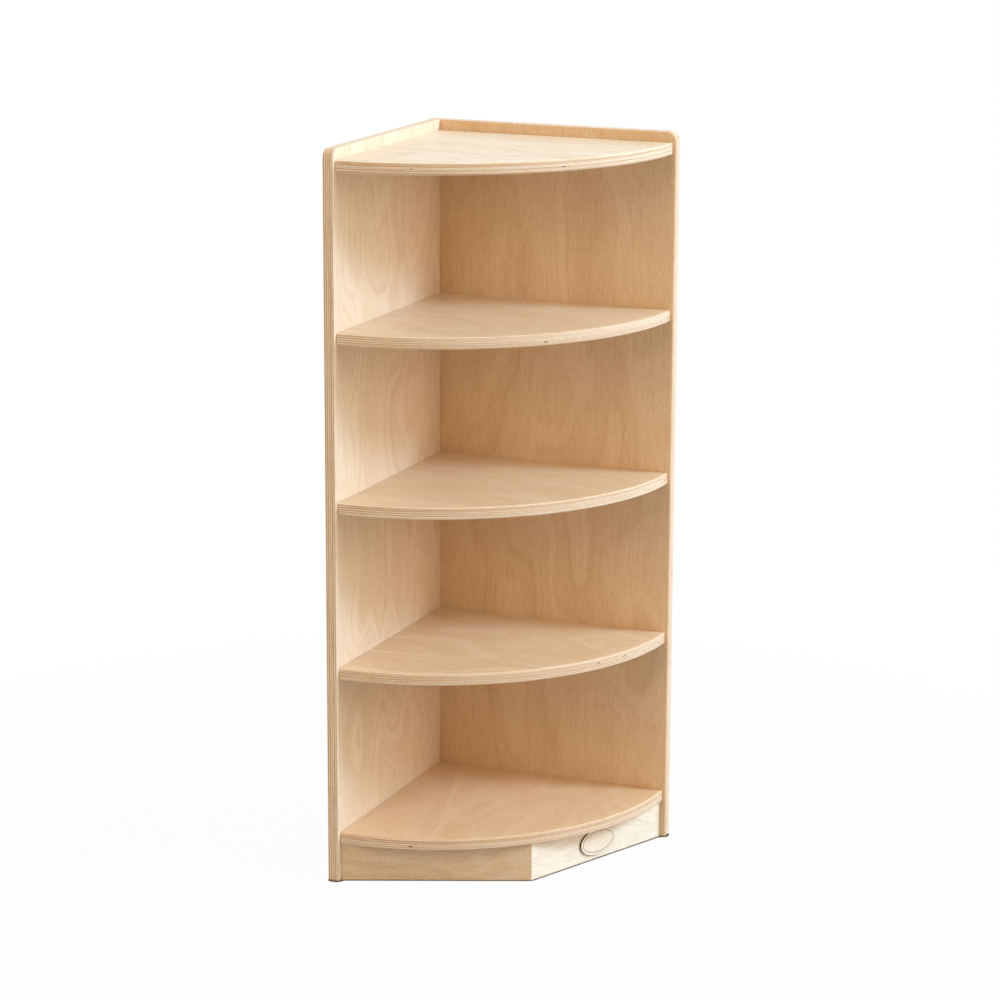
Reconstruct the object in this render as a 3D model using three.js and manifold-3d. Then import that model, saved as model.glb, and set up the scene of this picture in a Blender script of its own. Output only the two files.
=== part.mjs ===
// A free-standing corner shelf unit in birch plywood, in millimetres, +Z up.
// Two panels meet at a right angle. The inner corner between them is the centre of the five
// quarter-round shelves. The origin is on the floor, in the middle of the unit's square footprint.

import * as THREE from "three";
import { mergeVertices } from "three/addons/utils/BufferGeometryUtils.js";
import Module from "manifold-3d";

// Sizes of the unit
const SIDE = 400; // outside length of the unit along each wall
const BOARD = 18; // plywood thickness
const PLINTH_SPACE = 58; // floor to the underside of the bottom shelf
const BOTTOM_BAY = 237; // clear height above the bottom shelf
const UPPER_BAY = 233; // clear height of each bay above that one
const TOP_LIP = 16; // the panels stand this much above the top shelf
const SHELF_SETBACK = 6; // panels' front edges to the round edge of the shelves
const PLINTH_SETBACK = 4; // round edge of the shelves to the corners of the plinth
const GLUE_LINE = 0.3; // gap between two boards that are joined

// Rounding of the boards
const EDGE_ROUND = 3; // free edges of panels and shelves
const TOP_CORNER_ROUND = 15; // panels' top front corners, seen from the side
const FOOT_CORNER_ROUND = 4; // panels' bottom front corners

// Furniture screws and the plugs over them
const FIXING_INSET = 60; // screws to the inner corner, and to the shelf's round edge
const BORE_RADIUS = 5.3; // bore in the panel for the plug and the screw's head
const FIT = 0.3; // clearance round a screw or a plug, and at its ends
const PLUG_LENGTH = 5;
const SCREW_LENGTH = 50;
const HEAD_RIM = 1.2; // straight part of the head
const COUNTERSINK_DEPTH = 3; // tapered part of the head
const COLLAR_RADIUS = 3.5; // smooth shank, inside the panel
const CORE_RADIUS = 2.5; // threaded shank, inside the shelf
const TIP_LENGTH = 4;
const DRIVE_RADIUS = 2.3; // hexagon socket
const DRIVE_DEPTH = 2.5;

// Glue blocks behind the plinth
const BLOCK_HEIGHT = 50;
const CORNER_BLOCK_LEG = 30; // along each plinth board
const CORNER_BLOCK_DEPTH = 18; // square to each plinth board
const CLEAT_WIDTH = 20;

// Plaque on the right plinth board
const PLAQUE_WIDTH = 76;
const PLAQUE_HEIGHT = 42;
const PLAQUE_THICKNESS = 3;
const PLAQUE_ROUND = 0.4;
const PLAQUE_CENTRE_HEIGHT = 28;

// Cutters run this far past the faces that they cut
const OVERRUN = 5;

// Heights of the screws that join the panels, as shares of the panels' height
const corner_screw_shares = { low: 0.12, middle: 0.5, high: 0.88 };

// Counts of flat facets
const SHELF_ARC_FACETS = 32; // in a shelf's quarter circle
const EDGE_FACETS = 3; // in a rounded edge
const CORNER_FACETS = 6; // in a panel's rounded corner
const BORE_FACETS = 12;
const PLAQUE_FACETS = 32;
const SOCKET_FACETS = 6; // the socket is a hexagon
const CURVE_SEGMENT_FACETS = 2; // an arc in a THREE.Shape gets two facets for each curve segment

// Sizes that follow from those above
const REACH = SIDE - BOARD; // inner corner to the panels' front edges
const SHELF_RADIUS = REACH - SHELF_SETBACK;
const PLINTH_RADIUS = SHELF_RADIUS - PLINTH_SETBACK;
const PLINTH_HEIGHT = PLINTH_SPACE - GLUE_LINE;
const FASTENER_RADIUS = BORE_RADIUS - FIT;
const HEAD_TOP = BOARD - PLUG_LENGTH - FIT; // above the panel's inner face
const CONE_TOP = HEAD_TOP - HEAD_RIM;
const CONE_FOOT = CONE_TOP - COUNTERSINK_DEPTH;
const SCREW_TIP = HEAD_TOP - SCREW_LENGTH;
const QUARTER_TURN = Math.PI / 2;
const HALF_PLINTH_TURN = Math.PI / 8; // each plinth board spans an eighth of a circle

// The space under each shelf, from the floor up
const spaces_below = {
  bottom_shelf: PLINTH_SPACE,
  lower_shelf: BOTTOM_BAY,
  middle_shelf: UPPER_BAY,
  upper_shelf: UPPER_BAY,
  top_shelf: UPPER_BAY,
};
const shelf_heights = {}; // undersides
let top_so_far = 0;
for (const [name, space] of Object.entries(spaces_below)) {
  shelf_heights[name] = top_so_far + space;
  top_so_far += space + BOARD;
}
const PANEL_HEIGHT = top_so_far + TOP_LIP;

// Where the screws stand along a wall, from the inner corner
const fixing_places = { back: FIXING_INSET, front: SHELF_RADIUS - FIXING_INSET };

const plywood = { color: 0xd9b88c, roughness: 0.55, metalness: 0 };
const block_wood = { color: 0xcfa877, roughness: 0.7, metalness: 0 };
const plug_wood = { color: 0xe0c39a, roughness: 0.6, metalness: 0 };
const plaque_wood = { color: 0xecd9b6, roughness: 0.6, metalness: 0 };
const zinc_steel = { color: 0xb9b4a2, roughness: 0.35, metalness: 1 };

const wasm = await Module();
wasm.setup();

function solidOf(geometry) {
  const bare = geometry.clone();
  bare.deleteAttribute("normal");
  bare.deleteAttribute("uv");
  const merged = mergeVertices(bare);
  const vertProperties = merged.attributes.position.array;
  const triVerts = new Uint32Array(merged.index.array);
  return new wasm.Manifold(new wasm.Mesh({ numProp: 3, vertProperties, triVerts }));
}

function geometryOf(solid) {
  const mesh = solid.getMesh();
  const geometry = new THREE.BufferGeometry();
  geometry.setAttribute("position", new THREE.BufferAttribute(mesh.vertProperties, mesh.numProp));
  geometry.setIndex(new THREE.BufferAttribute(mesh.triVerts, 1));
  geometry.computeVertexNormals();
  return geometry;
}

function placed(geometry, position, turn_x = 0, turn_z = 0) {
  return geometry.clone().rotateX(turn_x).rotateZ(turn_z).translate(...position);
}

function cut(blank, cutters) {
  return cutters.reduce((solid, cutter) => solid.subtract(solidOf(cutter)), solidOf(blank));
}

function boxBetween(low, high) {
  const [width, depth, height] = high.map((value, axis) => value - low[axis]);
  const middle = high.map((value, axis) => (value + low[axis]) / 2);
  return new THREE.BoxGeometry(width, depth, height).translate(...middle);
}

function prism(points, height) {
  const outline = new THREE.Shape(points.map(([x, y]) => new THREE.Vector2(x, y)));
  return new THREE.ExtrudeGeometry(outline, { depth: height, bevelEnabled: false });
}

function turned(points, facets) {
  return new THREE.LatheGeometry(
    points.map(([radius, along]) => new THREE.Vector2(radius, along)),
    facets,
  );
}

function part(name, geometry, finish) {
  const mesh = new THREE.Mesh(geometry, new THREE.MeshStandardMaterial(finish));
  mesh.name = name;
  return mesh;
}

// A screw or plug stands along +Y, with the panel's inner face at 0 and its outer face at BOARD.
function screwGeometry() {
  const body = turned(
    [
      [0, SCREW_TIP],
      [CORE_RADIUS, SCREW_TIP + TIP_LENGTH],
      [CORE_RADIUS, 0],
      [COLLAR_RADIUS, 0],
      [COLLAR_RADIUS, CONE_FOOT],
      [FASTENER_RADIUS, CONE_TOP],
      [FASTENER_RADIUS, HEAD_TOP],
      [0, HEAD_TOP],
    ],
    BORE_FACETS,
  );
  const socket_height = DRIVE_DEPTH + OVERRUN;
  const socket = new THREE.CylinderGeometry(DRIVE_RADIUS, DRIVE_RADIUS, socket_height, SOCKET_FACETS);
  socket.translate(0, HEAD_TOP - DRIVE_DEPTH + socket_height / 2, 0);
  return geometryOf(cut(body, [socket]));
}

function plugGeometry() {
  const plug = new THREE.CylinderGeometry(
    FASTENER_RADIUS,
    FASTENER_RADIUS,
    PLUG_LENGTH,
    BORE_FACETS,
  );
  return plug.translate(0, BOARD - PLUG_LENGTH / 2, 0);
}

// The stepped bore that a panel has for each screw and its plug
function boreCutter() {
  return turned(
    [
      [0, -OVERRUN],
      [COLLAR_RADIUS + FIT, -OVERRUN],
      [COLLAR_RADIUS + FIT, CONE_FOOT],
      [BORE_RADIUS, CONE_TOP],
      [BORE_RADIUS, BOARD + OVERRUN],
      [0, BOARD + OVERRUN],
    ],
    BORE_FACETS,
  );
}

// The blind hole that the board behind the panel has for the screw's thread
function pilotCutter() {
  const radius = CORE_RADIUS + FIT;
  return turned(
    [
      [0, SCREW_TIP - FIT],
      [radius, SCREW_TIP - FIT],
      [radius, OVERRUN],
      [0, OVERRUN],
    ],
    BORE_FACETS,
  );
}

// A wall is drawn with +X from the inner corner to its front edge and +Y up.
// Its outer face is on the side of +Z or -Z that outward gives.
function panelBlank(start, outward) {
  const foot = FOOT_CORNER_ROUND;
  const head = TOP_CORNER_ROUND;
  const outline = new THREE.Shape();
  outline.moveTo(start - OVERRUN, 0);
  outline.lineTo(REACH - foot, 0);
  outline.absarc(REACH - foot, foot, foot, -QUARTER_TURN, 0);
  outline.absarc(REACH - head, PANEL_HEIGHT - head, head, 0, QUARTER_TURN);
  outline.lineTo(start - OVERRUN, PANEL_HEIGHT);
  const board = new THREE.ExtrudeGeometry(outline, {
    depth: BOARD - 2 * EDGE_ROUND,
    bevelThickness: EDGE_ROUND,
    bevelSize: EDGE_ROUND,
    bevelOffset: -EDGE_ROUND,
    bevelSegments: EDGE_FACETS,
    curveSegments: CORNER_FACETS / CURVE_SEGMENT_FACETS,
  });
  const inner_face = outward > 0 ? 0 : -BOARD;
  board.translate(0, 0, inner_face + EDGE_ROUND);
  const kept_low = [start, -OVERRUN, -BOARD - OVERRUN];
  const kept_high = [REACH + OVERRUN, PANEL_HEIGHT + OVERRUN, BOARD + OVERRUN];
  return geometryOf(solidOf(board).intersect(solidOf(boxBetween(kept_low, kept_high))));
}

function shelfFixings(side) {
  const fixings = [];
  for (const [shelf, underside] of Object.entries(shelf_heights)) {
    for (const [place, along] of Object.entries(fixing_places)) {
      fixings.push({ name: `${shelf}_${side}_${place}`, along, up: underside + BOARD / 2 });
    }
  }
  return fixings;
}

function cornerFixings() {
  return Object.entries(corner_screw_shares).map(([place, share]) => ({
    name: `corner_${place}`,
    along: -BOARD / 2,
    up: PANEL_HEIGHT * share,
  }));
}

function wall(panel_name, start, outward, fixings, more_cutters) {
  const group = new THREE.Group();
  const turn = outward * QUARTER_TURN;
  const bores = fixings.map(({ along, up }) => placed(boreCutter(), [along, up, 0], turn));
  const panel = cut(panelBlank(start, outward), [...bores, ...more_cutters]);
  group.add(part(panel_name, geometryOf(panel), plywood));
  for (const { name, along, up } of fixings) {
    const screw = part(`${name}_screw`, screwGeometry(), zinc_steel);
    const plug = part(`${name}_plug`, plugGeometry(), plug_wood);
    for (const fastener of [screw, plug]) {
      fastener.position.set(along, up, 0);
      fastener.rotation.x = turn;
      group.add(fastener);
    }
  }
  return group;
}

function leftWall() {
  const pilots = cornerFixings().map(({ up }) =>
    placed(pilotCutter(), [0, up, BOARD / 2], 0, QUARTER_TURN),
  );
  const group = wall("left_panel", GLUE_LINE, 1, shelfFixings("left"), pilots);
  group.rotation.set(QUARTER_TURN, 0, -QUARTER_TURN, "ZYX");
  return group;
}

function rearWall() {
  const fixings = [...shelfFixings("rear"), ...cornerFixings()];
  const group = wall("rear_panel", -BOARD, -1, fixings, []);
  group.rotation.x = QUARTER_TURN;
  return group;
}

// A shelf is a disc with an eased rim, of which the quarter between the two walls is kept.
function shelfGeometry() {
  const rim = [];
  for (let step = 0; step <= EDGE_FACETS; step += 1) {
    const turn = (step / EDGE_FACETS) * QUARTER_TURN;
    const out = SHELF_RADIUS - EDGE_ROUND + EDGE_ROUND * Math.sin(turn);
    rim.push([out, EDGE_ROUND - EDGE_ROUND * Math.cos(turn)]);
  }
  const upper_rim = rim.map(([out, up]) => [out, BOARD - up]).reverse();
  const profile = [[0, 0], ...rim, ...upper_rim, [0, BOARD]];
  const disc = placed(turned(profile, 4 * SHELF_ARC_FACETS), [0, 0, 0], QUARTER_TURN);
  const kept_low = [GLUE_LINE, -SIDE, -OVERRUN];
  const kept_high = [SIDE, -GLUE_LINE, BOARD + OVERRUN];
  const quarter = solidOf(disc).intersect(solidOf(boxBetween(kept_low, kept_high)));
  const pilots = [];
  for (const along of Object.values(fixing_places)) {
    pilots.push(placed(pilotCutter(), [0, -along, BOARD / 2], 0, QUARTER_TURN));
    pilots.push(placed(pilotCutter(), [along, 0, BOARD / 2]));
  }
  return geometryOf(cut(geometryOf(quarter), pilots));
}

function shelves() {
  const geometry = shelfGeometry();
  return Object.entries(shelf_heights).map(([name, underside]) => {
    const shelf = part(name, geometry, plywood);
    shelf.position.z = underside;
    return shelf;
  });
}

// A plinth board is drawn with +X from the inner corner square through its middle.
// Both its ends lie on lines from that corner: a wall's face, and the mitre with the other board.
const plinth_outer_face = PLINTH_RADIUS * Math.cos(HALF_PLINTH_TURN);
const plinth_inner_face = plinth_outer_face - BOARD;

function endAt(distance, gap) {
  return distance * Math.tan(HALF_PLINTH_TURN) - gap / Math.cos(HALF_PLINTH_TURN);
}

function plinthGeometry() {
  const outer_end = endAt(plinth_outer_face, GLUE_LINE / 2);
  const inner_end = endAt(plinth_inner_face, GLUE_LINE / 2);
  const outline = [
    [plinth_outer_face, -outer_end],
    [plinth_outer_face, outer_end],
    [plinth_inner_face, inner_end],
    [plinth_inner_face, -inner_end],
  ];
  return prism(outline, PLINTH_HEIGHT);
}

// A square batten along the wall, one face of it planed to meet the plinth board
function cleatGeometry(side) {
  const along_x = Math.cos(HALF_PLINTH_TURN);
  const along_y = Math.sin(HALF_PLINTH_TURN);
  const front_x = plinth_inner_face - GLUE_LINE;
  const front_y = endAt(front_x, GLUE_LINE);
  const back = [front_x - CLEAT_WIDTH * along_x, front_y - CLEAT_WIDTH * along_y];
  const free = [back[0] + CLEAT_WIDTH * along_y, back[1] - CLEAT_WIDTH * along_x];
  const meeting_y = free[1] + (front_x - free[0]) * Math.tan(HALF_PLINTH_TURN);
  const outline = [[front_x, front_y], back, free, [front_x, meeting_y]];
  return prism(
    outline.map(([x, y]) => [x, side * y]),
    BLOCK_HEIGHT,
  );
}

// The block behind the mitre is drawn with +X from the inner corner to the mitre.
function cornerBlockGeometry() {
  const across = Math.cos(HALF_PLINTH_TURN);
  const along = Math.sin(HALF_PLINTH_TURN);
  const apex = (plinth_inner_face - GLUE_LINE) / across;
  const leg = [apex - CORNER_BLOCK_LEG * along, CORNER_BLOCK_LEG * across];
  const heel = [leg[0] - CORNER_BLOCK_DEPTH * across, leg[1] - CORNER_BLOCK_DEPTH * along];
  const outline = [[apex, 0], leg, heel, [heel[0], -heel[1]], [leg[0], -leg[1]]];
  return prism(outline, BLOCK_HEIGHT);
}

function plaqueGeometry() {
  const outline = new THREE.Shape();
  outline.absellipse(0, 0, PLAQUE_WIDTH / 2, PLAQUE_HEIGHT / 2, 0, 4 * QUARTER_TURN);
  const plaque = new THREE.ExtrudeGeometry(outline, {
    depth: PLAQUE_THICKNESS - 2 * PLAQUE_ROUND,
    bevelThickness: PLAQUE_ROUND,
    bevelSize: PLAQUE_ROUND,
    bevelOffset: -PLAQUE_ROUND,
    bevelSegments: 1,
    curveSegments: PLAQUE_FACETS / CURVE_SEGMENT_FACETS,
  });
  return plaque.translate(0, 0, PLAQUE_ROUND);
}

// side is 1 for the board that ends at the rear wall and -1 for the one that ends at the left wall
function plinthBoard(name, side) {
  const group = new THREE.Group();
  const middle_turn = 2 * HALF_PLINTH_TURN - side * HALF_PLINTH_TURN;
  group.rotation.z = -middle_turn;
  group.add(part(name, plinthGeometry(), plywood));
  const cleat = part(`${name}_cleat`, cleatGeometry(side), block_wood);
  cleat.position.z = PLINTH_HEIGHT - BLOCK_HEIGHT;
  group.add(cleat);
  return group;
}

function plinth() {
  const group = new THREE.Group();
  const right = plinthBoard("right_plinth", 1);
  const plaque = part("plaque", plaqueGeometry(), plaque_wood);
  plaque.rotation.set(QUARTER_TURN, 0, QUARTER_TURN, "ZYX");
  plaque.position.set(plinth_outer_face + GLUE_LINE, 0, PLAQUE_CENTRE_HEIGHT);
  right.add(plaque);
  const block = part("plinth_corner_block", cornerBlockGeometry(), block_wood);
  block.rotation.z = -2 * HALF_PLINTH_TURN;
  block.position.z = PLINTH_HEIGHT - BLOCK_HEIGHT;
  group.add(plinthBoard("left_plinth", -1), right, block);
  return group;
}

// The whole unit, drawn from the inner corner and set over the middle of its footprint
const unit = new THREE.Group();
unit.position.set(BOARD - SIDE / 2, SIDE / 2 - BOARD, 0);
unit.add(leftWall(), rearWall(), ...shelves(), plinth());

const corner_shelf_unit = new THREE.Group();
corner_shelf_unit.add(unit);

export default corner_shelf_unit;
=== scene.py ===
# A free-standing corner shelf unit in birch plywood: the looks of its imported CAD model, in metres
import math

import bmesh
import bpy
from mathutils import Matrix, Vector


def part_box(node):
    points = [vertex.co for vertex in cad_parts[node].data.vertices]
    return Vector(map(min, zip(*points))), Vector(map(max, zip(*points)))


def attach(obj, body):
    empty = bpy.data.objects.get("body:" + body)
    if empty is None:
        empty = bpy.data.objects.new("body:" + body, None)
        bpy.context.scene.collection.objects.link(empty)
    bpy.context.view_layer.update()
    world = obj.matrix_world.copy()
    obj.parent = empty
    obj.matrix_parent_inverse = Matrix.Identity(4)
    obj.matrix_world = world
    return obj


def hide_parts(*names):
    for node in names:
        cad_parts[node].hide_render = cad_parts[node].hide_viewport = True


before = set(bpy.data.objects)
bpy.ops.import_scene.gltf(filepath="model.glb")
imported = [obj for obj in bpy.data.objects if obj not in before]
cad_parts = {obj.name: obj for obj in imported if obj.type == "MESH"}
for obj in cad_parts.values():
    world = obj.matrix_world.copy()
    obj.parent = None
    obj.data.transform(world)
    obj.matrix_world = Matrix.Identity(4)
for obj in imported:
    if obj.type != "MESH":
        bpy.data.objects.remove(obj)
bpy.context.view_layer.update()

# Sizes of the boards that their boxes don't give
EDGE_ROUND = 0.003
TOP_CORNER_ROUND = 0.015
FOOT_CORNER_ROUND = 0.004
PLINTH_ARRIS = 0.0008
SHELF_ARRIS = 0.0008
PLIES = 11

# Half of the turn between the two plinth boards, which is how far off square they meet the panels too
HALF_PLINTH_TURN = math.pi / 8

# Bores in the panels, and the pilot holes in the boards behind them
CLEARANCE = 0.0003
COLLAR_RADIUS = 0.0035
CORE_RADIUS = 0.0025
HEAD_LENGTH = 0.0042
OVERRUN = 0.002

# Plugs and plaque
PLUG_ARRIS = 0.0003
PLAQUE_WIDTH = 0.076
PLAQUE_THICKNESS = 0.003
PLAQUE_ARRIS = 0.0004
PLAQUE_BORDER = 0.0042
GROOVE_WIDTH = 0.0009
GROOVE_DEPTH = 0.0005

# Counts of facets, the angle under which two of them are shaded as one, and the weight of large ones
ARC_FACETS = 128
EDGE_FACETS = 6
CORNER_FACETS = 14
BORE_FACETS = 32
PLAQUE_FACETS = 96
SHELF_ARRIS_FACETS = 2
PLINTH_ARRIS_FACETS = 3
SMOOTH_UNDER = math.radians(32)
LARGE_FACES_RULE = 100

# The photograph's camera, from a fit to the unit's edges
CAMERA_PLACE = (1.8133, -4.4312, 1.7139)
CAMERA_YAW = math.radians(22.32)
CAMERA_PITCH = math.radians(13.536)
CAMERA_ROLL = math.radians(0.231)
SENSOR_MM = 36.0
LENS_MM = 118.907

# Lamps, which all look at one point from one distance
LIT_POINT = Vector((0, 0, 0.55))
LAMP_DISTANCE = 6.0

# Each soft box's azimuth and elevation in degrees, its size, its power in watts and its colour
SOFT_BOXES = {
    "key": (-15, 30.5, 1.2, 170, (0.66, 0.97, 1.43)),
    "window": (-15, 30, 5.3, 247, (0.8, 1.01, 1.15)),
    "top": (0, 90, 2.4, 77, (0.92, 1.01, 1.14)),
    "bounce": (0, 12, 3.0, 45, (1.15, 0.75, 0.4)),
    "fill": (100, 28, 3.2, 96, (1.09, 1.01, 0.87)),
}

# The light from all round, and the white that the camera sees behind the unit
AMBIENT = 0.34
WARM = (1.24, 0.97, 0.59, 1)
WHITE = (1, 1, 1, 1)

# Floor: its size from the middle, how far it lies under the feet, what it throws back on the unit, and
# the shadows that show on it. Its contact shadow is full from shut down, and ends at free
FLOOR_REACH = 12.0
FLOOR_DROP = 0.0003
FLOOR_GREY = (0.5, 0.5, 0.5, 1)
FLOOR_ROUGHNESS = 0.9
SHADOW_REACH = 1.6
SHADOW_DEPTH = 0.03
CONTACT_SHADOW = (0.12, 0.07, 0.04, 1)
CONTACT_SHADOW_REACH = 0.007
CONTACT_SHADOW_RAYS = 16
SHUT_OPENNESS = 0.62
FREE_OPENNESS = 0.8

UP = Vector((0, 0, 1))


class Wiring:
    """Adds nodes to a node tree. A value is a socket to link from, or a plain value to set."""

    def __init__(self, tree):
        self.tree = tree

    def node(self, kind, inputs=None, **settings):
        node = self.tree.nodes.new(kind)
        for name, value in settings.items():
            setattr(node, name, value)
        for key, value in (inputs or {}).items():
            self.set(node.inputs[key], value)
        return node

    def set(self, socket, value):
        if isinstance(value, bpy.types.NodeSocket):
            self.tree.links.new(value, socket)
        else:
            socket.default_value = value

    def math(self, operation, *values):
        inputs = dict(enumerate(values))
        return self.node("ShaderNodeMath", inputs, operation=operation).outputs[0]

    def scaled(self, value, factor, offset=0.0):
        return self.math("MULTIPLY_ADD", value, factor, offset)

    def within(self, value, low, high):
        return self.math("MINIMUM", self.math("MAXIMUM", value, low), high)

    def ranged(self, value, low, high, to_low=0.0, to_high=1.0, smooth=False):
        inputs = {"Value": value, "From Min": low, "From Max": high, "To Min": to_low, "To Max": to_high}
        kind = "SMOOTHSTEP" if smooth else "LINEAR"
        return self.node("ShaderNodeMapRange", inputs, interpolation_type=kind).outputs["Result"]

    def blend(self, factor, first, second):
        inputs = {"Factor": factor, "A": first, "B": second}
        return self.node("ShaderNodeMix", inputs, data_type="FLOAT").outputs[0]

    def colours(self, factor, first, second, kind="MIX"):
        """Blends two colours. The mix node has hidden sockets for the other kinds of value."""
        mix = self.node("ShaderNodeMix", data_type="RGBA", blend_type=kind)
        sockets = [socket for socket in mix.inputs if socket.enabled]
        for socket, value in zip(sockets, (factor, first, second)):
            self.set(socket, value)
        return next(socket for socket in mix.outputs if socket.enabled)

    def vector(self, x, y, z):
        return self.node("ShaderNodeCombineXYZ", {0: x, 1: y, 2: z}).outputs[0]

    def split(self, vector):
        return self.node("ShaderNodeSeparateXYZ", {0: vector}).outputs

    def noise(self, vector, detail=2.0, roughness=0.5):
        inputs = {"Vector": vector, "Scale": 1.0, "Detail": detail, "Roughness": roughness}
        return self.node("ShaderNodeTexNoise", inputs).outputs[0]

    def random(self, value):
        inputs = {"W": value}
        return self.node("ShaderNodeTexWhiteNoise", inputs, noise_dimensions="1D").outputs["Value"]


def srgb(red, green, blue):
    """A colour written in the usual steps from 0 to 255, as a linear colour by the sRGB standard."""
    linear = []
    for step in (red, green, blue):
        share = step / 255
        linear.append(share / 12.92 if share <= 0.04045 else ((share + 0.055) / 1.055) ** 2.4)
    return (*linear, 1.0)


# Colours of birch along and across its grain, glue lines, warm veneers (whose amber also paints warm
# shade), scorched wood and zinc
LONG_GRAIN = srgb(246, 233, 212)
DEEP_GRAIN = srgb(206, 169, 124)
END_GRAIN = srgb(208, 157, 104)
GLUE = srgb(134, 84, 44)
AMBER_AND_SHADE = srgb(246, 220, 188)
SOOT = srgb(58, 32, 17)
SCORCH = srgb(124, 76, 42)
DULL_ZINC = srgb(176, 171, 152)
BRIGHT_ZINC = srgb(212, 208, 192)

# Layers of noise in the birch: waves per metre along and across the grain, detail and roughness
GRAIN_LAYERS = {
    "wander": (4.0, 9.0, 2.0, 0.5),
    "hills": (2.3, 6.0, 2.0, 0.45),
    "ripples": (7.0, 50.0, 2.0, 0.5),
    "ring_strength": (2.5, 14.0, 2.0, 0.5),
    "bands": (1.6, 60.0, 2.0, 0.55),
    "streaks": (6.0, 260.0, 3.0, 0.65),
    "fibres": (26.0, 560.0, 3.0, 0.75),
    "flecks": (45.0, 800.0, 1.0, 0.5),
    "pores": (420.0, 520.0, 0.0, 0.5),
    "mottling": (9.0, 15.0, 2.0, 0.5),
}
WANDER = 0.02

# The slow height whose contour lines are the growth rings, in rings
HILL_RINGS = 12.0
SLOPE_RINGS_PER_METRE = 6.0
RIPPLE_RINGS = 0.35
RING_START = 0.6
RING_PEAK = 0.94
GROWTH_WAVES_PER_RING = 0.8

# How far each thing changes the tone, what brings the growth's middle near 0, the tone without figure,
# and the tones that are drawn palest and deepest
RING_TONE = 0.24
GROWTH_TONE = 0.95
GROWTH_MIDDLE = 0.465
LAYER_TONES = {"bands": 0.2, "streaks": 0.3, "fibres": 0.75, "pores": 0.72, "mottling": 0.3}
FLECK_TONE = 0.3
PLAIN_TONE = 0.2
PALEST = -0.25
DEEPEST = 1.25

# Flecks are the peaks of their noise, and dents in the relief
FLECK_START = 0.58
FLECK_FULL = 0.7
FLECK_RELIEF = 0.8

# Plies: their waves per metre, and their waviness and glue lines in ply thicknesses
PLY_WAVES = 14.0
PLY_WAVINESS = 0.3
GLUE_CORE = 0.03
GLUE_EDGE = 0.1
GLUE_DEPTH = 0.8
GLUE_RELIEF = 0.6

# How the plies differ: in their place in the noise, in the tone of their long grain, and in how much
# of the end grain's colour and relief they take
PLY_SPREAD = 43.0
EDGE_TONE_SPREAD = 0.6
EDGE_TONE_PALEST = -0.45
END_GRAIN_POWER = 1.5
END_GRAIN_LEAST = 0.3
END_GRAIN_RELIEF = 0.6

# How far a normal turns out of the edge before a surface counts as face, and the edges' share of amber,
# which is partly the veneers' own colour and partly painted shade
FACE_START = 0.3
FACE_FULL = 0.95
EDGE_AMBER_AND_SHADE = 0.2

# Gaps in the inner plies: the peaks of a noise, with its waves per metre and per ply
GAP_WAVES = 60.0
GAP_WAVES_PER_PLY = 7.3
GAP_START = 0.82
GAP_FULL = 0.85
INNER_PLIES = 7

# Roughness of varnished plywood, with what deep tones and end grain add, and the relief of all birch
FACE_ROUGHNESS = 0.36
TONE_ROUGHNESS = 0.12
END_GRAIN_ROUGHNESS = 0.15
BUMP_STRENGTH = 0.5
BUMP_DEPTH = 0.00012

# Woods without plies: where their figure is cut from, their colours and their least roughness
SOLID_DENSITY = 2.0
SOLID_FIGURE = 1.0
PLUG_WOOD = {
    "seed": 8.8, "light": srgb(236, 210, 174), "deep": srgb(196, 150, 102), "roughness": 0.45,
}
BLOCK_WOOD = {
    "seed": 14.2, "light": srgb(222, 190, 146), "deep": srgb(178, 132, 84), "roughness": 0.6,
}
PLAQUE_WOOD = {
    "seed": 5.3, "light": srgb(245, 230, 209), "deep": srgb(228, 203, 170), "roughness": 0.5,
}

# The plaque is scorched from just under its face, and sooty in waves per metre
SCORCH_FULL = 0.0004
SCORCH_START = 0.0001
SOOT_WAVES = 600

# Zinc: the spangle's waves per metre and detail, and its roughness where it is dull and bright
SPANGLE_WAVES = 900
SPANGLE_DETAIL = 3.0
SPANGLE_START = 0.3
SPANGLE_FULL = 0.7
DULL_ROUGHNESS = 0.28
BRIGHT_ROUGHNESS = 0.42

# Each board's face veneer: where its figure is cut from, how close its rings lie, how amber and how
# dark it is, how strong its figure is, and whether its grain is turned to run across the board's frame.
# The amber and dark are partly each veneer's own colour and partly painted shade: they are deeper and
# warmer on boards that stand in shade, such as the left plinth, and paler on boards in the key light,
# such as the right plinth
VENEER_INPUTS = ("Seed", "Density", "Warmth", "Depth", "Figure", "Turned")
VENEERS_AND_SHADE = {
    "left_panel": (1.37, 1.9, 0.27, -0.08, 1.7, 0),
    "rear_panel": (2.71, 1.2, 0.73, 0.1, 0.9, 0),
    "bottom_shelf": (3.13, 2.0, 0.72, 0.14, 0.7, 1),
    "lower_shelf": (4.9, 2.0, 0.46, 0.26, 1.0, 0),
    "middle_shelf": (6.41, 1.5, 0.39, 0.22, 1.0, 0),
    "upper_shelf": (7.77, 1.5, 0.28, 0.26, 1.0, 0),
    "top_shelf": (9.2, 1.5, 0.0, 0.2, 1.0, 0),
    "left_plinth": (10.6, 3.0, 0.36, 0.36, 1.7, 0),
    "right_plinth": (12.2, 3.5, 0.0, -0.22, 1.3, 0),
}


def new_group(name, inputs, outputs):
    group = bpy.data.node_groups.new(name, "ShaderNodeTree")
    for socket in inputs:
        group.interface.new_socket(socket, in_out="INPUT", socket_type="NodeSocketFloat")
    for socket, kind in outputs.items():
        group.interface.new_socket(socket, in_out="OUTPUT", socket_type=kind)
    return group


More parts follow.
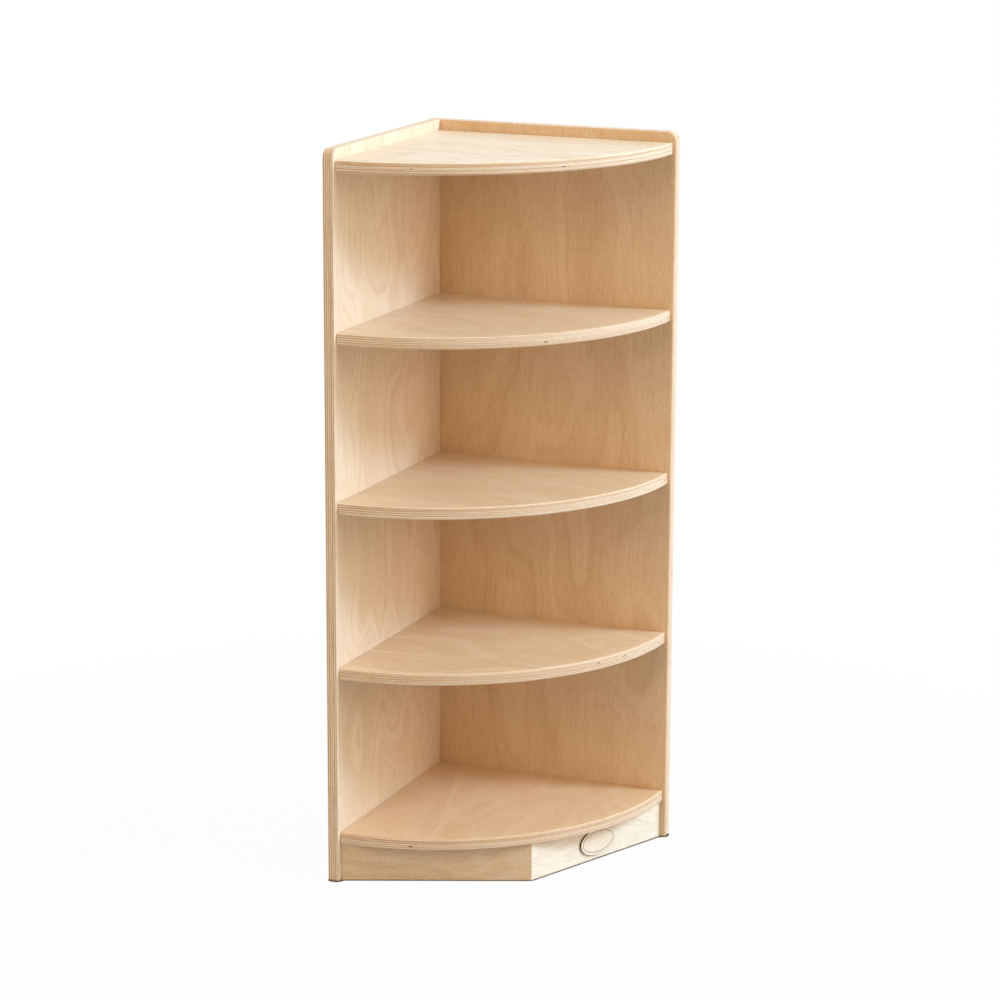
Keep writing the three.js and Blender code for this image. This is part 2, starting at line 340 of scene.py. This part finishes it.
def birch_grain_group():
    """Birch at a place given along and across its grain, in metres: its tone, from 0 to 1, and its relief.

    Offset says where the figure is cut from. Density says how close the growth rings lie, with 1 for a
    broad, quiet figure, and Figure how strongly they show."""
    group = new_group(
        "birch_grain",
        ("Along", "Across", "Offset", "Density", "Figure"),
        {"Tone": "NodeSocketFloat", "Relief": "NodeSocketFloat"},
    )
    wiring = Wiring(group)
    along, across, offset, density, figure = wiring.node("NodeGroupInput").outputs[:5]

    def layer(name):
        along_waves, across_waves, detail, roughness = GRAIN_LAYERS[name]
        place = (wiring.scaled(along, along_waves), wiring.scaled(across, across_waves), offset)
        return wiring.noise(wiring.vector(*place), detail, roughness)

    # The grain doesn't run quite straight
    across = wiring.math("ADD", across, wiring.scaled(layer("wander"), WANDER, -WANDER / 2))

    # Growth rings that the knife has cut at a slant: contour lines of a slow height
    height = wiring.scaled(layer("hills"), HILL_RINGS)
    height = wiring.math("ADD", height, wiring.scaled(across, SLOPE_RINGS_PER_METRE))
    height = wiring.math("ADD", height, wiring.scaled(layer("ripples"), RIPPLE_RINGS))
    height = wiring.math("MULTIPLY", height, density)
    ring = wiring.math("FRACT", height)
    rise = wiring.ranged(ring, RING_START, RING_PEAK, smooth=True)
    fall = wiring.ranged(ring, RING_PEAK, 1.0, 1.0, 0.0)
    rings = wiring.math("MULTIPLY", wiring.math("MINIMUM", rise, fall), layer("ring_strength"))
    growth_place = wiring.vector(wiring.scaled(height, GROWTH_WAVES_PER_RING), 0.0, offset)
    growth = wiring.noise(growth_place, 1.0)
    growth_tone = wiring.scaled(growth, GROWTH_TONE, -GROWTH_MIDDLE)
    tone = wiring.math("ADD", wiring.scaled(rings, RING_TONE), growth_tone)
    tone = wiring.math("MULTIPLY", tone, figure)

    layers = {name: layer(name) for name in LAYER_TONES}
    for name, strength in LAYER_TONES.items():
        tone = wiring.math("ADD", tone, wiring.scaled(layers[name], strength, -strength / 2))
    flecks = wiring.ranged(layer("flecks"), FLECK_START, FLECK_FULL)
    tone = wiring.math("ADD", tone, wiring.scaled(flecks, FLECK_TONE, PLAIN_TONE))
    relief = wiring.math("SUBTRACT", layers["fibres"], wiring.scaled(flecks, FLECK_RELIEF))
    wiring.node("NodeGroupOutput", {"Tone": tone, "Relief": relief})
    return group


def plywood_group(grain):
    """Birch plywood in a board's own frame: +X along the face grain and +Z through the plies."""
    kinds = {"Color": "NodeSocketColor", "Roughness": "NodeSocketFloat", "Relief": "NodeSocketFloat"}
    names = ("Thickness", *VENEER_INPUTS)
    group = new_group("birch_plywood", names, kinds)
    wiring = Wiring(group)
    group_inputs = wiring.node("NodeGroupInput").outputs
    thickness, seed, density, warmth_and_shade, depth_and_shade, figure, turned = group_inputs[:len(names)]
    coordinates = wiring.node("ShaderNodeTexCoord")
    place_x, place_y, depth = wiring.split(coordinates.outputs["Object"])
    normal_x, normal_y, facing_out = wiring.split(coordinates.outputs["Normal"])
    x = wiring.blend(turned, place_x, place_y)
    y = wiring.blend(turned, place_y, place_x)
    facing_x = wiring.blend(turned, normal_x, normal_y)
    facing_y = wiring.blend(turned, normal_y, normal_x)

    # Which ply a point lies in, how near it is to a glue line, and the ply's own place in the noise
    ply_thickness = wiring.math("DIVIDE", thickness, PLIES)
    wave_place = wiring.vector(wiring.scaled(x, PLY_WAVES), wiring.scaled(y, PLY_WAVES), seed)
    level = wiring.math("DIVIDE", depth, ply_thickness)
    waviness = wiring.scaled(wiring.noise(wave_place), PLY_WAVINESS, -PLY_WAVINESS / 2)
    level = wiring.math("ADD", level, waviness)
    ply = wiring.within(wiring.math("FLOOR", level), 0.0, PLIES - 1.0)
    crosswise = wiring.math("MODULO", ply, 2.0)
    joint = wiring.within(wiring.math("ROUND", level), 1.0, PLIES - 1.0)
    glue = wiring.math("ABSOLUTE", wiring.math("SUBTRACT", level, joint))
    glue = wiring.ranged(glue, GLUE_CORE, GLUE_EDGE, 1.0, 0.0)
    chance = wiring.random(wiring.math("ADD", ply, seed))

    birch = wiring.node("ShaderNodeGroup", {
        "Along": wiring.blend(crosswise, x, y),
        "Across": wiring.blend(crosswise, y, x),
        "Offset": wiring.math("ADD", wiring.scaled(chance, PLY_SPREAD), seed),
        "Density": density,
        "Figure": figure,
    }, node_tree=grain)

    # Face, long grain and end grain
    endwise = wiring.math("ABSOLUTE", wiring.blend(crosswise, facing_x, facing_y))
    endwise = wiring.math("POWER", endwise, END_GRAIN_POWER)
    side = wiring.math("ABSOLUTE", wiring.blend(crosswise, facing_y, facing_x))
    face = wiring.ranged(wiring.math("ABSOLUTE", facing_out), FACE_START, FACE_FULL, smooth=True)
    edge_tone = wiring.scaled(chance, EDGE_TONE_SPREAD, EDGE_TONE_PALEST)
    edge_tone = wiring.math("MULTIPLY", side, edge_tone)
    tone = wiring.math("ADD", birch.outputs["Tone"], edge_tone)
    # Each board's depth, partly the veneer's own tone and partly painted shade, darkens its faces
    tone = wiring.math("ADD", tone, wiring.math("MULTIPLY", face, depth_and_shade))
    tone = wiring.ranged(tone, PALEST, DEEPEST)
    colour = wiring.colours(tone, LONG_GRAIN, DEEP_GRAIN)
    end_grain = wiring.scaled(chance, 1 - END_GRAIN_LEAST, END_GRAIN_LEAST)
    colour = wiring.colours(wiring.math("MULTIPLY", endwise, end_grain), colour, END_GRAIN)

    # Short gaps in the inner plies, where the veneer's joints and knots were cut through
    gap_place = wiring.vector(
        wiring.scaled(place_x, GAP_WAVES),
        wiring.scaled(place_y, GAP_WAVES),
        wiring.math("ADD", wiring.scaled(ply, GAP_WAVES_PER_PLY), seed),
    )
    gaps = wiring.ranged(wiring.noise(gap_place, 0.0), GAP_START, GAP_FULL)
    from_middle = wiring.math("ABSOLUTE", wiring.scaled(ply, 1.0, -(PLIES - 1) / 2))
    gaps = wiring.math("MULTIPLY", gaps, wiring.math("LESS_THAN", from_middle, INNER_PLIES / 2))
    glue = wiring.math("MAXIMUM", wiring.scaled(glue, GLUE_DEPTH), gaps)
    colour = wiring.colours(glue, colour, GLUE)
    # The amber tint, partly the veneer's own colour and partly painted warm shade on boards in shade, falls
    # mostly on the faces
    amber_and_shade = wiring.math("MULTIPLY", wiring.scaled(face, 1 - EDGE_AMBER_AND_SHADE, EDGE_AMBER_AND_SHADE), warmth_and_shade)
    colour = wiring.colours(amber_and_shade, colour, AMBER_AND_SHADE, "MULTIPLY")

    roughness = wiring.scaled(birch.outputs["Tone"], TONE_ROUGHNESS, FACE_ROUGHNESS)
    roughness = wiring.math("ADD", roughness, wiring.scaled(endwise, END_GRAIN_ROUGHNESS))
    relief = wiring.math("SUBTRACT", birch.outputs["Relief"], wiring.scaled(endwise, END_GRAIN_RELIEF))
    relief = wiring.math("SUBTRACT", relief, wiring.scaled(glue, GLUE_RELIEF))
    wiring.node("NodeGroupOutput", {"Color": colour, "Roughness": roughness, "Relief": relief})
    return group


def new_material(name):
    material = bpy.data.materials.new(name)
    material.use_nodes = True
    return material, Wiring(material.node_tree), material.node_tree.nodes["Principled BSDF"]


def add_relief(wiring, shader, height):
    bump = wiring.node(
        "ShaderNodeBump",
        {"Height": height, "Strength": BUMP_STRENGTH, "Distance": BUMP_DEPTH},
    )
    wiring.set(shader.inputs["Normal"], bump.outputs["Normal"])


def plywood_material(node, plywood, thickness):
    material, wiring, shader = new_material(f"{node}_plywood")
    veneer = dict(zip(VENEER_INPUTS, VENEERS_AND_SHADE[node]), Thickness=thickness)
    birch = wiring.node("ShaderNodeGroup", veneer, node_tree=plywood)
    wiring.set(shader.inputs["Base Color"], birch.outputs["Color"])
    wiring.set(shader.inputs["Roughness"], birch.outputs["Roughness"])
    add_relief(wiring, shader, birch.outputs["Relief"])
    shader.inputs["IOR"].default_value = 1.5
    shader.inputs["Coat Weight"].default_value = 0.2
    shader.inputs["Coat Roughness"].default_value = 0.3
    return material


def solid_birch_material(name, grain, seed, light, deep, roughness):
    """Plain birch without plies, with its grain along the object's +X."""
    material, wiring, shader = new_material(name)
    coordinates = wiring.node("ShaderNodeTexCoord")
    x, y, z = wiring.split(coordinates.outputs["Object"])
    birch = wiring.node("ShaderNodeGroup", {
        "Along": x,
        "Across": wiring.math("ADD", y, z),
        "Offset": seed,
        "Density": SOLID_DENSITY,
        "Figure": SOLID_FIGURE,
    }, node_tree=grain)
    tone = birch.outputs["Tone"]
    wiring.set(shader.inputs["Base Color"], wiring.colours(tone, light, deep))
    wiring.set(shader.inputs["Roughness"], wiring.scaled(tone, TONE_ROUGHNESS, roughness))
    add_relief(wiring, shader, birch.outputs["Relief"])
    return material


def speckle(wiring, coordinates, waves, detail=2.0):
    """Noise in the object's own space, with so many waves to the metre."""
    mapping = wiring.node(
        "ShaderNodeMapping",
        {"Vector": coordinates.outputs["Object"], "Scale": (waves, waves, waves)},
    )
    return wiring.noise(mapping.outputs[0], detail)


def plaque_material(grain):
    """Thin pale wood, scorched brown on its cut sides and in its groove."""
    material = solid_birch_material("plaque_wood", grain, **PLAQUE_WOOD)
    wiring = Wiring(material.node_tree)
    shader = material.node_tree.nodes["Principled BSDF"]
    colour = shader.inputs["Base Color"].links[0].from_socket
    coordinates = wiring.node("ShaderNodeTexCoord")
    height = wiring.split(coordinates.outputs["Object"])["Z"]
    full = PLAQUE_THICKNESS - SCORCH_FULL
    start = PLAQUE_THICKNESS - SCORCH_START
    scorch = wiring.ranged(height, full, start, 1.0, 0.0)
    burnt = wiring.colours(speckle(wiring, coordinates, SOOT_WAVES), SOOT, SCORCH)
    wiring.set(shader.inputs["Base Color"], wiring.colours(scorch, colour, burnt))
    return material


def zinc_material():
    material, wiring, shader = new_material("zinc_steel")
    coordinates = wiring.node("ShaderNodeTexCoord")
    spangle = speckle(wiring, coordinates, SPANGLE_WAVES, SPANGLE_DETAIL)
    roughness = wiring.ranged(spangle, SPANGLE_START, SPANGLE_FULL, DULL_ROUGHNESS, BRIGHT_ROUGHNESS)
    wiring.set(shader.inputs["Base Color"], wiring.colours(spangle, DULL_ZINC, BRIGHT_ZINC))
    wiring.set(shader.inputs["Roughness"], roughness)
    shader.inputs["Metallic"].default_value = 1.0
    return material


def board_place(along, across, origin):
    """A board's own frame: +X along its grain, +Y across it and +Z through it."""
    along = Vector(along)
    across = Vector(across)
    place = Matrix((along, across, along.cross(across))).transposed().to_4x4()
    place.translation = origin
    return place


def arc(centre, radius, start, end, facets):
    """Points of an arc, each with the direction to its centre."""
    points = []
    for step in range(facets + 1):
        turn = start + (end - start) * step / facets
        outward = Vector((math.cos(turn), math.sin(turn)))
        points.append((Vector(centre) + radius * outward, -outward))
    return points


def take_off_arris(model, edges, size, facets):
    bmesh.ops.bevel(model, geom=edges, offset=size, segments=facets, affect="EDGES", profile=0.5)


def board_mesh(name, eased, square, thickness, arris=0.0):
    """A board whose outline has an eased run, as points with their inward directions, and square corners.

    An arris, if any, is taken off the edges that meet at the first square corner."""
    rim = []
    for step in range(EDGE_FACETS + 1):
        turn = step / EDGE_FACETS * math.pi / 2
        rim.append((EDGE_ROUND * (1 - math.sin(turn)), EDGE_ROUND * (1 - math.cos(turn))))
    rim += [(inset, thickness - level) for inset, level in reversed(rim)]
    model = bmesh.new()
    columns = []
    for point, inward in eased:
        column = [(*(point + inset * inward), level) for inset, level in rim]
        columns.append([model.verts.new(place) for place in column])
    for point in square:
        columns.append([model.verts.new((*point, level)) for level in (0, thickness)])
    model.faces.new([column[0] for column in reversed(columns)])
    model.faces.new([column[-1] for column in columns])
    for first, second in zip(columns, columns[1:] + columns[:1]):
        both_eased = len(first) == len(rim) and len(second) == len(rim)
        if both_eased and second is not columns[0]:
            for lower in range(len(rim) - 1):
                upper = lower + 1
                model.faces.new((first[lower], second[lower], second[upper], first[upper]))
        else:
            model.faces.new(first[::-1] + second)
    if arris:
        corner = Vector(square[0])
        rims = [edge for edge in model.edges if any(v.co.xy == corner for v in edge.verts)]
        rims = [edge for edge in rims if edge.verts[0].co.z == edge.verts[1].co.z]
        take_off_arris(model, rims, arris, SHELF_ARRIS_FACETS)
    return finished_mesh(name, model)


def finished_mesh(name, model):
    bmesh.ops.recalc_face_normals(model, faces=model.faces)
    mesh = bpy.data.meshes.new(name)
    model.to_mesh(mesh)
    model.free()
    return mesh


def lathe(model, profile, place, facets):
    """Adds a turned solid to the model, from (radius, height) points between two points on the axis."""
    rings = []
    for radius, height in profile:
        if radius == 0:
            rings.append([model.verts.new(place @ Vector((0, 0, height)))] * facets)
            continue
        ring = []
        for step in range(facets):
            turn = step / facets * math.tau
            point = Vector((radius * math.cos(turn), radius * math.sin(turn), height))
            ring.append(model.verts.new(place @ point))
        rings.append(ring)
    for lower, upper in zip(rings, rings[1:]):
        for step in range(facets):
            after = (step + 1) % facets
            corners = (lower[step], lower[after], upper[after], upper[step])
            model.faces.new(list(dict.fromkeys(corners)))


def add_piece(name, mesh, place, node, material):
    """A Blender piece that stands for one CAD node."""
    piece = bpy.data.objects.new(name, mesh)
    bpy.context.scene.collection.objects.link(piece)
    piece.matrix_world = place
    mesh.materials.append(material)
    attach(piece, "root")
    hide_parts(node)
    return piece


def cut(piece, cutters):
    """Cuts turned solids, given as (profile, place in the board's frame), out of the piece."""
    model = bmesh.new()
    for profile, place in cutters:
        lathe(model, profile, place, BORE_FACETS)
    tool = bpy.data.objects.new("cutter", finished_mesh("cutter", model))
    bpy.context.scene.collection.objects.link(tool)
    tool.matrix_world = piece.matrix_world
    boolean = piece.modifiers.new("bores", "BOOLEAN")
    boolean.object = tool
    boolean.solver = "EXACT"
    bpy.context.view_layer.update()
    graph = bpy.context.evaluated_depsgraph_get()
    carved = bpy.data.meshes.new_from_object(piece.evaluated_get(graph))
    piece.modifiers.clear()
    plain = piece.data
    piece.data = carved

    # Blender removes the cutter together with its mesh
    for unused in (plain, tool.data):
        bpy.data.meshes.remove(unused)


def shade(piece):
    """Smooth over the rounds, flat over the flats, whose size rules the normals at their rims."""
    piece.data.shade_smooth()
    piece.data.set_sharp_from_angle(angle=SMOOTH_UNDER)
    normals = piece.modifiers.new("weighted_normals", "WEIGHTED_NORMAL")
    normals.keep_sharp = True
    normals.weight = LARGE_FACES_RULE


def fixing_names(*words):
    """The fixings whose names hold one of the words, named without plug or screw."""
    names = [name[: -len("_plug")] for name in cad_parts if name.endswith("_plug")]
    return sorted(name for name in names if any(word in name for word in words))


def fixing_place(name, inverse, outward):
    """A fixing's frame in its board: +Z out of the board, from the middle of the plug's outer end."""
    low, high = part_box(f"{name}_plug")
    middle = inverse @ ((low + high) / 2)
    half_length = min(high - low) / 2
    place = Matrix.Translation(middle + half_length * outward)
    return place @ UP.rotation_difference(outward).to_matrix().to_4x4()


def plug_sizes(name):
    """A plug's radius and length."""
    low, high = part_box(f"{name}_plug")
    size = high - low
    return max(size) / 2, min(size)


def panel_bore(name, thickness):
    """A panel's stepped hole for a screw and its plug, from the outer face down."""
    radius, plug_length = plug_sizes(name)
    head_end = -plug_length - CLEARANCE - HEAD_LENGTH
    wide = radius + CLEARANCE
    narrow = COLLAR_RADIUS + CLEARANCE
    return [
        (0, -thickness - OVERRUN),
        (narrow, -thickness - OVERRUN),
        (narrow, head_end),
        (wide, head_end + wide - narrow),
        (wide, OVERRUN),
        (0, OVERRUN),
    ]


def pilot_hole(name):
    """The blind hole for a screw's thread, from the level of the panel's outer face down."""
    low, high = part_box(f"{name}_screw")
    _, plug_length = plug_sizes(name)
    tip = -plug_length - CLEARANCE - max(high - low) - CLEARANCE
    radius = CORE_RADIUS + CLEARANCE
    return [(0, tip), (radius, tip), (radius, 0), (0, 0)]


def add_panel(node, plywood, across, origin, outward, fixings, pilots=()):
    """An upright panel, bored right through for its fixings, with pilot holes in its back edge.

    Across runs from the origin, on the back edge, to the front edge, and outward is in the board's frame."""
    low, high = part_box(node)
    size = high - low
    thickness = min(size)
    depth = max(size.x, size.y)
    height = size.z
    head = TOP_CORNER_ROUND
    foot = FOOT_CORNER_ROUND
    quarter = math.pi / 2
    start = [(Vector((0, 0)), Vector((1, 0)))]
    foot_arc = arc((foot, depth - foot), foot, 2 * quarter, quarter, CORNER_FACETS)
    head_arc = arc((height - head, depth - head), head, quarter, 0, CORNER_FACETS)
    end = [(Vector((height, 0)), Vector((-1, 0)))]
    place = board_place(UP, across, origin)
    material = plywood_material(node, plywood, thickness)
    mesh = board_mesh(f"{node}_board", start + foot_arc + head_arc + end, [], thickness)
    piece = add_piece(f"{node}_board", mesh, place, node, material)
    inverse = place.inverted()
    backward = Vector((0, -1, 0))
    cutters = [(panel_bore(name, thickness), fixing_place(name, inverse, outward)) for name in fixings]
    cutters += [(pilot_hole(name), fixing_place(name, inverse, backward)) for name in pilots]
    cut(piece, cutters)
    shade(piece)


def add_shelf(node, plywood):
    """A quarter-round shelf, with its corner at the frame's origin and pilot holes in its wall edges."""
    low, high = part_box(node)
    radius = high.x - low.x
    thickness = high.z - low.z
    place = board_place((1, 0, 0), (0, 1, 0), (low.x, high.y, low.z))
    curve = arc((0, 0), radius, -math.pi / 2, 0, ARC_FACETS)
    material = plywood_material(node, plywood, thickness)
    mesh = board_mesh(f"{node}_board", curve, [Vector((0, 0))], thickness, SHELF_ARRIS)
    piece = add_piece(f"{node}_board", mesh, place, node, material)
    inverse = place.inverted()
    walls = {"_left_": Vector((-1, 0, 0)), "_rear_": Vector((0, 1, 0))}
    cutters = []
    for wall, outward in walls.items():
        for name in fixing_names(f"{node}{wall}"):
            cutters.append((pilot_hole(name), fixing_place(name, inverse, outward)))
    cut(piece, cutters)
    shade(piece)


def add_plinth_board(node, plywood, start, end):
    """A plinth board between two points of its outer face at floor level, mitred at both ends."""
    low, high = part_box(node)
    run = end - start
    along = run.normalized()
    length = run.length
    height = high.z - low.z
    outward = along.cross(UP)
    place = board_place(along, UP, start - outward * THICKNESS)
    shift = THICKNESS * math.tan(HALF_PLINTH_TURN)
    model = bmesh.new()
    outline = [(shift, 0), (length - shift, 0), (length, THICKNESS), (0, THICKNESS)]
    lower = [model.verts.new((x, 0, z)) for x, z in outline]
    upper = [model.verts.new((x, height, z)) for x, z in outline]
    model.faces.new(lower)
    model.faces.new(upper[::-1])
    for corner in range(len(outline)):
        after = (corner + 1) % len(outline)
        model.faces.new((lower[corner], upper[corner], upper[after], lower[after]))
    foot = [edge for edge in model.edges if all(v.co.y == 0 and v.co.z == THICKNESS for v in edge.verts)]
    take_off_arris(model, foot, PLINTH_ARRIS, PLINTH_ARRIS_FACETS)
    mesh = finished_mesh(f"{node}_board", model)
    material = plywood_material(node, plywood, THICKNESS)
    piece = add_piece(f"{node}_board", mesh, place, node, material)
    shade(piece)


def add_plug(name, material, outward):
    """A plug over a screw, turned with a small arris round its outer end."""
    radius, length = plug_sizes(name)
    low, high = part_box(f"{name}_plug")
    place = Matrix.Translation((low + high) / 2 - outward * length / 2)
    place = place @ UP.rotation_difference(outward).to_matrix().to_4x4()
    arris = [(radius, length - PLUG_ARRIS), (radius - PLUG_ARRIS, length)]
    model = bmesh.new()
    lathe(model, [(0, 0), (radius, 0), *arris, (0, length)], Matrix(), BORE_FACETS)
    mesh = finished_mesh(f"{name}_cap", model)
    piece = add_piece(f"{name}_cap", mesh, place, f"{name}_plug", material)
    shade(piece)


def plaque_mesh(width, height):
    """A flat oval with eased edges and a groove that follows them."""
    groove_start = PLAQUE_BORDER
    groove_end = PLAQUE_BORDER + GROOVE_WIDTH
    top = PLAQUE_THICKNESS
    steps = [
        (0, 0),
        (0, top - PLAQUE_ARRIS),
        (PLAQUE_ARRIS, top),
        (groove_start, top),
        (groove_start, top - GROOVE_DEPTH),
        (groove_end, top - GROOVE_DEPTH),
        (groove_end, top),
    ]
    model = bmesh.new()
    rings = []
    for inset, level in steps:
        ring = []
        for step in range(PLAQUE_FACETS):
            turn = step / PLAQUE_FACETS * math.tau
            x = (width / 2 - inset) * math.cos(turn)
            y = (height / 2 - inset) * math.sin(turn)
            ring.append(model.verts.new((x, y, level)))
        rings.append(ring)
    for lower, upper in zip(rings, rings[1:]):
        for step in range(PLAQUE_FACETS):
            after = (step + 1) % PLAQUE_FACETS
            model.faces.new((lower[step], lower[after], upper[after], upper[step]))
    model.faces.new(rings[0][::-1])
    model.faces.new(rings[-1])
    return finished_mesh("plaque_oval", model)


def add_plaque(grain, along):
    """The oval on the right plinth board, which runs along the given direction."""
    low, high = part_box("plaque")
    middle = (low + high) / 2
    outward = along.cross(UP)
    place = board_place(along, UP, middle - outward * PLAQUE_THICKNESS / 2)
    mesh = plaque_mesh(PLAQUE_WIDTH, high.z - low.z)
    material = plaque_material(grain)
    piece = add_piece("plaque_oval", mesh, place, "plaque", material)
    shade(piece)


left_low, left_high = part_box("left_panel")
rear_low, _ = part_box("rear_panel")
THICKNESS = left_high.x - left_low.x

birch_grain = birch_grain_group()
birch_plywood = plywood_group(birch_grain)

add_panel(
    "left_panel", birch_plywood, Vector((0, -1, 0)), (left_low.x, left_high.y, 0),
    Vector((0, 0, -1)), fixing_names("_left_"), fixing_names("corner_"),
)
add_panel(
    "rear_panel", birch_plywood, Vector((1, 0, 0)), (rear_low.x, rear_low.y, 0),
    Vector((0, 0, 1)), fixing_names("_rear_", "corner_"),
)
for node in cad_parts:
    if node.endswith("_shelf"):
        add_shelf(node, birch_plywood)

# The plinth boards' outer faces at floor level, from the corners of their boxes
left_plinth_low, left_plinth_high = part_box("left_plinth")
right_plinth_low, right_plinth_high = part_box("right_plinth")
left_end = Vector((left_plinth_low.x, left_plinth_low.y, 0))
right_end = Vector((right_plinth_high.x, right_plinth_high.y, 0))
mitre = Vector((left_plinth_high.x, right_plinth_low.y, 0))
add_plinth_board("left_plinth", birch_plywood, left_end, mitre)
add_plinth_board("right_plinth", birch_plywood, mitre, right_end)
add_plaque(birch_grain, (right_end - mitre).normalized())

plug_material = solid_birch_material("plug_wood", birch_grain, **PLUG_WOOD)
for name in fixing_names("_left_"):
    add_plug(name, plug_material, Vector((-1, 0, 0)))
for name in fixing_names("_rear_", "corner_"):
    add_plug(name, plug_material, Vector((0, 1, 0)))

# The screws and glue blocks stand unseen inside the unit, so their solids stay and get materials
block_material = solid_birch_material("block_wood", birch_grain, **BLOCK_WOOD)
steel = zinc_material()
for name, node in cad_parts.items():
    if name.endswith("_screw"):
        node.data.materials.clear()
        node.data.materials.append(steel)
    elif name.endswith("_cleat") or name == "plinth_corner_block":
        node.data.materials.clear()
        node.data.materials.append(block_material)


def add_soft_box(name, azimuth, elevation, size, power, colour):
    """A round soft box that looks at the middle of the unit. Azimuth 0 is +X, and 90 is the front, -Y.

    It lights the unit and leaves no glare on the varnish, which mirrors the white studio alone."""
    turn = math.radians(azimuth)
    rise = math.radians(elevation)
    towards = Vector((math.cos(turn) * math.cos(rise), -math.sin(turn) * math.cos(rise), math.sin(rise)))
    light = bpy.data.lights.new(name, "AREA")
    light.shape = "DISK"
    light.size = size
    light.energy = power
    light.color = colour
    lamp = bpy.data.objects.new(name, light)
    bpy.context.scene.collection.objects.link(lamp)
    lamp.visible_glossy = False
    lamp.location = LIT_POINT + LAMP_DISTANCE * towards
    lamp.rotation_euler = towards.to_track_quat("Z", "Y").to_euler()


def seen_directly(wiring):
    """1 for the camera's rays and for reflections, 0 for the light that falls on the unit."""
    path = wiring.node("ShaderNodeLightPath")
    seen = wiring.math("MAXIMUM", path.outputs["Is Camera Ray"], path.outputs["Is Glossy Ray"])
    return wiring.math("MAXIMUM", seen, path.outputs["Is Transmission Ray"])


def floor_material():
    """White as the background, darkened where the unit stands and a little by its shadow."""
    material, wiring, shader = new_material("floor_white")
    shader.inputs["Base Color"].default_value = FLOOR_GREY
    shader.inputs["Roughness"].default_value = FLOOR_ROUGHNESS
    shader.inputs["Specular IOR Level"].default_value = 0.0
    occlusion = wiring.node(
        "ShaderNodeAmbientOcclusion",
        {"Distance": CONTACT_SHADOW_REACH},
        samples=CONTACT_SHADOW_RAYS,
    )
    openness = wiring.ranged(occlusion.outputs["AO"], SHUT_OPENNESS, FREE_OPENNESS, smooth=True)
    tint = wiring.colours(openness, CONTACT_SHADOW, WHITE)
    glow = wiring.node("ShaderNodeEmission", {"Color": tint, "Strength": 1.0})
    position = wiring.node("ShaderNodeNewGeometry").outputs["Position"]
    distance = wiring.node("ShaderNodeVectorMath", {0: position}, operation="LENGTH").outputs["Value"]
    share = wiring.ranged(distance, SHADOW_REACH / 2, SHADOW_REACH, 1 - SHADOW_DEPTH, 1.0, smooth=True)
    share = wiring.math("MULTIPLY", seen_directly(wiring), share)
    mix = wiring.node("ShaderNodeMixShader", {0: share, 1: shader.outputs[0], 2: glow.outputs[0]})
    output = next(node for node in material.node_tree.nodes if node.type == "OUTPUT_MATERIAL")
    wiring.set(output.inputs["Surface"], mix.outputs[0])
    return material


def add_floor():
    mesh = bpy.data.meshes.new("floor")
    corners = [(x * FLOOR_REACH, y * FLOOR_REACH, 0) for x, y in ((-1, -1), (1, -1), (1, 1), (-1, 1))]
    mesh.from_pydata(corners, [], [(0, 1, 2, 3)])
    mesh.materials.append(floor_material())
    floor = bpy.data.objects.new("floor", mesh)
    floor.location.z = -FLOOR_DROP
    bpy.context.scene.collection.objects.link(floor)


def add_world():
    world = bpy.data.worlds.new("studio")
    bpy.context.scene.world = world
    world.use_nodes = True
    world.node_tree.nodes.clear()
    wiring = Wiring(world.node_tree)
    ambient = wiring.node("ShaderNodeBackground", {"Color": WARM, "Strength": AMBIENT})
    white = wiring.node("ShaderNodeBackground", {"Color": WHITE, "Strength": 1.0})
    inputs = {0: seen_directly(wiring), 1: ambient.outputs[0], 2: white.outputs[0]}
    mix = wiring.node("ShaderNodeMixShader", inputs)
    wiring.node("ShaderNodeOutputWorld", {"Surface": mix.outputs[0]})


def add_camera():
    data = bpy.data.cameras.new("camera")
    data.sensor_width = SENSOR_MM
    data.lens = LENS_MM
    camera = bpy.data.objects.new("camera", data)
    bpy.context.scene.collection.objects.link(camera)
    turn = Matrix.Rotation(CAMERA_YAW, 4, "Z") @ Matrix.Rotation(math.pi / 2 - CAMERA_PITCH, 4, "X")
    camera.matrix_world = Matrix.Translation(CAMERA_PLACE) @ turn @ Matrix.Rotation(CAMERA_ROLL, 4, "Z")
    bpy.context.scene.camera = camera


for name, values in SOFT_BOXES.items():
    add_soft_box(name, *values)
add_floor()
add_world()
add_camera()
bpy.context.scene.view_settings.view_transform = "Standard"
